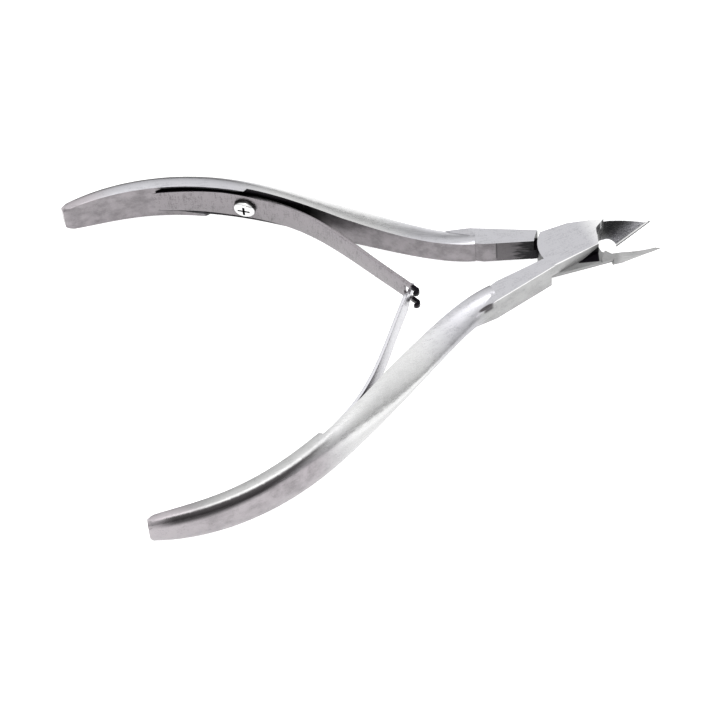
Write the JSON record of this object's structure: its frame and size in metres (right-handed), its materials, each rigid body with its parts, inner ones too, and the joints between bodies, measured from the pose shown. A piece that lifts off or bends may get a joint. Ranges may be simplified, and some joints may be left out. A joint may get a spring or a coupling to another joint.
{
  "type": "cuticle nipper",
  "caption": "Lap-joint cuticle nipper with curved handles, pointed cutting jaws and two interlocking leaf springs that hold it open.",
  "frame": {"origin": "on the pivot axis, in the flat underside of the lap joint", "axes": "+X from the joint towards the jaw tips, +Z along the pivot axis and out of the joint's top face, +Y towards the bottom half's handle"},
  "size_m": [0.1035, 0.0742, 0.01],
  "materials": {
    "steel": "satin",
    "spring_steel": "brushed",
    "screw_steel": "polished"
  },
  "bodies": {
    "top_half": {"top_half": "steel", "pivot_screw": "screw_steel", "tongue_spring_screw": "screw_steel"},
    "bottom_half": {"bottom_half": "steel", "forked_spring_screw": "screw_steel"},
    "forked_leaf": {"forked_spring": "spring_steel"},
    "tongue_leaf": {"tongue_spring": "spring_steel"}
  },
  "joints": [
    {"name": "jaw_pivot", "type": "hinge", "parent": "top_half", "child": "bottom_half", "pos_m": [0, 0, 0], "axis": [0, 0, 1], "range_deg": [0, 21.2], "stiffness_Nm_per_rad": 1, "deforming": ["forked_spring", "tongue_spring"]},
    {"name": "forked_leaf_bend", "type": "hinge", "parent": "bottom_half", "child": "forked_leaf", "pos_m": [-0.04994, 0.02451, 0.0028], "axis": [0, 0, 1], "range_deg": [0, 13], "deforming": ["forked_spring"]},
    {"name": "tongue_leaf_bend", "type": "hinge", "parent": "top_half", "child": "tongue_leaf", "pos_m": [-0.04994, -0.02451, 0.0028], "axis": [0, 0, 1], "range_deg": [-13, 0], "deforming": ["tongue_spring"]}
  ],
  "couplings": [
    {"joint": "forked_leaf_bend", "follows": "jaw_pivot", "ratio": 0.571},
    {"joint": "tongue_leaf_bend", "follows": "jaw_pivot", "ratio": -0.571}
  ]
}
